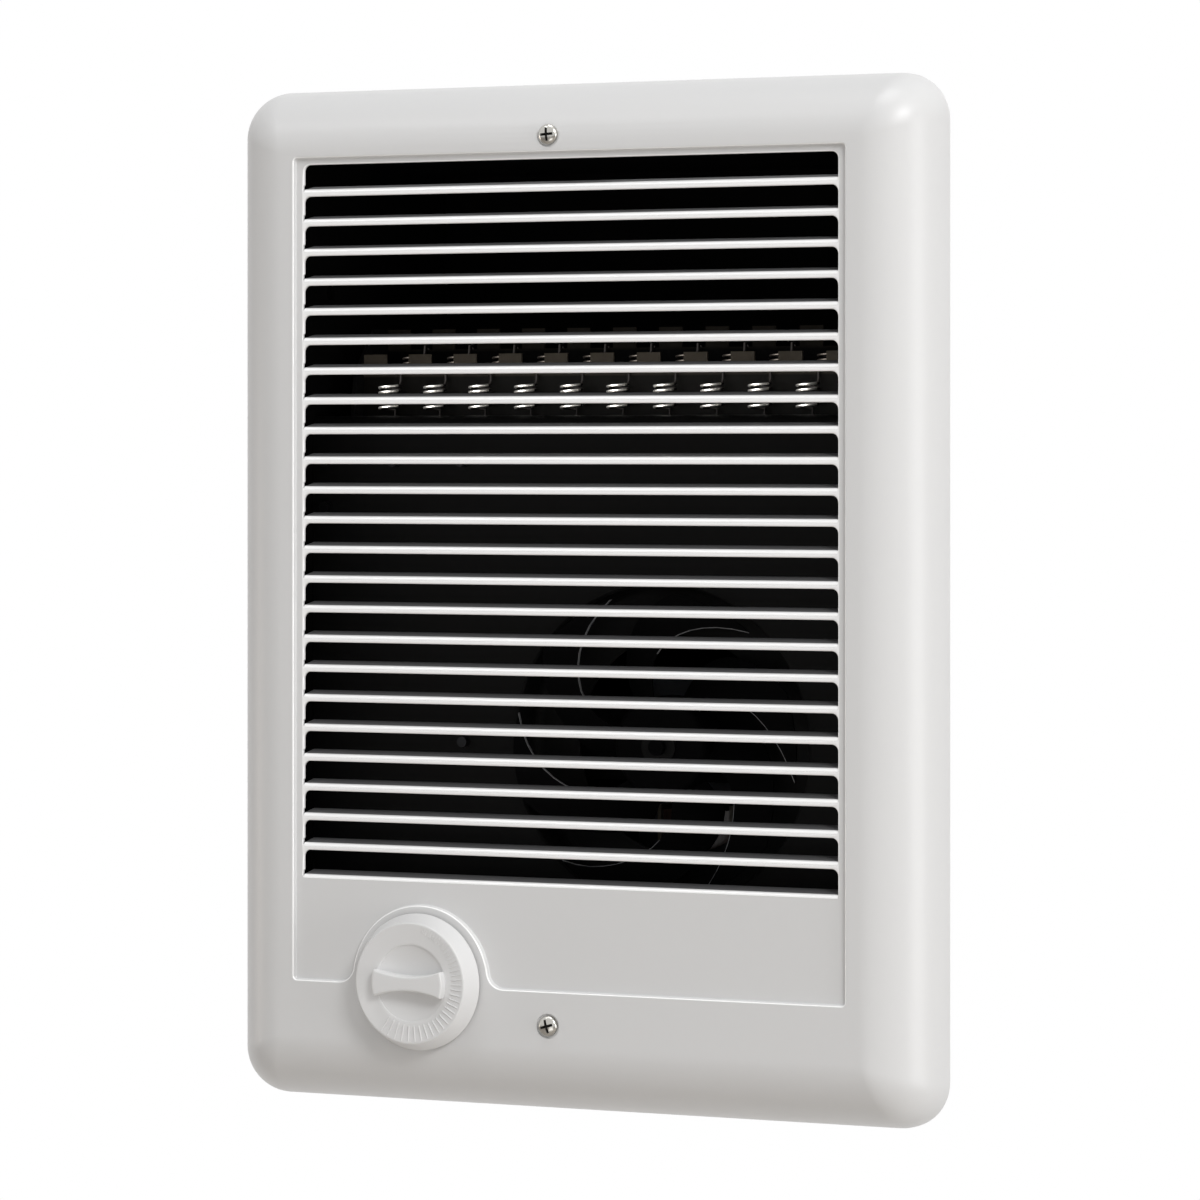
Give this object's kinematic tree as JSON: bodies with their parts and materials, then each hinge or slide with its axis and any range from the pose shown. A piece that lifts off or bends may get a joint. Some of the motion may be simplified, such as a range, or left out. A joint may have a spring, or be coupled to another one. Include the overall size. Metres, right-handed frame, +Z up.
{
  "type": "recessed wall fan heater",
  "caption": "Recessed bathroom wall fan heater: white louvred steel grille with thermostat knob over a wall can with fan, motor and wire element.",
  "frame": {"origin": "on the wall surface, at the middle of the grille's width and height", "axes": "+X to the right as seen from the room, +Y into the wall, +Z up"},
  "size_m": [0.228, 0.1313, 0.305],
  "materials": {
    "galvanised_steel": "satin",
    "green_screw": "satin",
    "white_enamel": "satin",
    "nickel_screw": "polished",
    "zinc_screw": "satin",
    "black_screw": "satin",
    "black_paint": "matte",
    "black_plastic": "matte",
    "fan_aluminium": "satin",
    "spring_steel": "satin",
    "shaft_steel": "polished",
    "rotor_steel": "satin",
    "lamination_steel": "satin",
    "copper": "satin",
    "cream_nylon": "matte",
    "enamelled_copper": "gloss",
    "brass_strip": "satin",
    "bracket_zinc": "satin",
    "sintered_bronze": "matte",
    "ceramic": "matte",
    "mica": "satin",
    "resistance_wire": "satin",
    "phenolic": "satin",
    "bimetal": "satin",
    "white_plastic": "satin",
    "red_lead": "satin",
    "white_lead": "satin"
  },
  "bodies": {
    "root": {"wall_can": "galvanised_steel", "ground_screw": "green_screw", "grille": "white_enamel", "grille_screws": "nickel_screw", "fan_deck": "black_paint", "deck_screws": "zinc_screw", "wire_grommet": "black_plastic", "stator_stack": "lamination_steel", "shading_rings": "copper", "coil_bobbin": "cream_nylon", "field_coil": "enamelled_copper", "motor_terminals": "brass_strip", "front_bearing_bracket": "bracket_zinc", "rear_bearing_bracket": "bracket_zinc", "bearings": "sintered_bronze", "motor_strap": "black_paint", "sheet_screws": "black_screw", "motor_spacers": "zinc_screw", "motor_bolts": "zinc_screw", "motor_nuts": "zinc_screw", "element_bracket_left": "black_paint", "element_bracket_right": "black_paint", "element_insulators": "ceramic", "front_mica_card": "mica", "rear_mica_card": "mica", "heating_coil": "resistance_wire", "element_terminals": "brass_strip", "limit_switch": "phenolic", "limit_terminals": "brass_strip", "thermostat_bracket": "galvanised_steel", "thermostat_base": "phenolic", "thermostat_cover": "bracket_zinc", "thermostat_bimetal": "bimetal", "thermostat_terminals": "brass_strip", "wire_thermostat_to_limit": "red_lead", "wire_limit_to_element": "red_lead", "wire_element_to_motor": "white_lead", "wire_motor_to_thermostat": "white_lead"},
    "fan": {"fan_wheel": "fan_aluminium", "fan_clip": "spring_steel", "motor_shaft": "shaft_steel", "rotor": "rotor_steel"},
    "knob": {"thermostat_shaft": "brass_strip", "knob": "white_plastic"}
  },
  "joints": [
    {"name": "fan_spin", "type": "hinge", "parent": "root", "child": "fan", "pos_m": [0.0172, 0.055, -0.04495], "axis": [0, 1, 0], "continuous": true},
    {"name": "knob_turn", "type": "hinge", "parent": "root", "child": "knob", "pos_m": [-0.0471, -0.01, -0.1148], "axis": [0, 1, 0], "range_deg": [0, 270]}
  ]
}
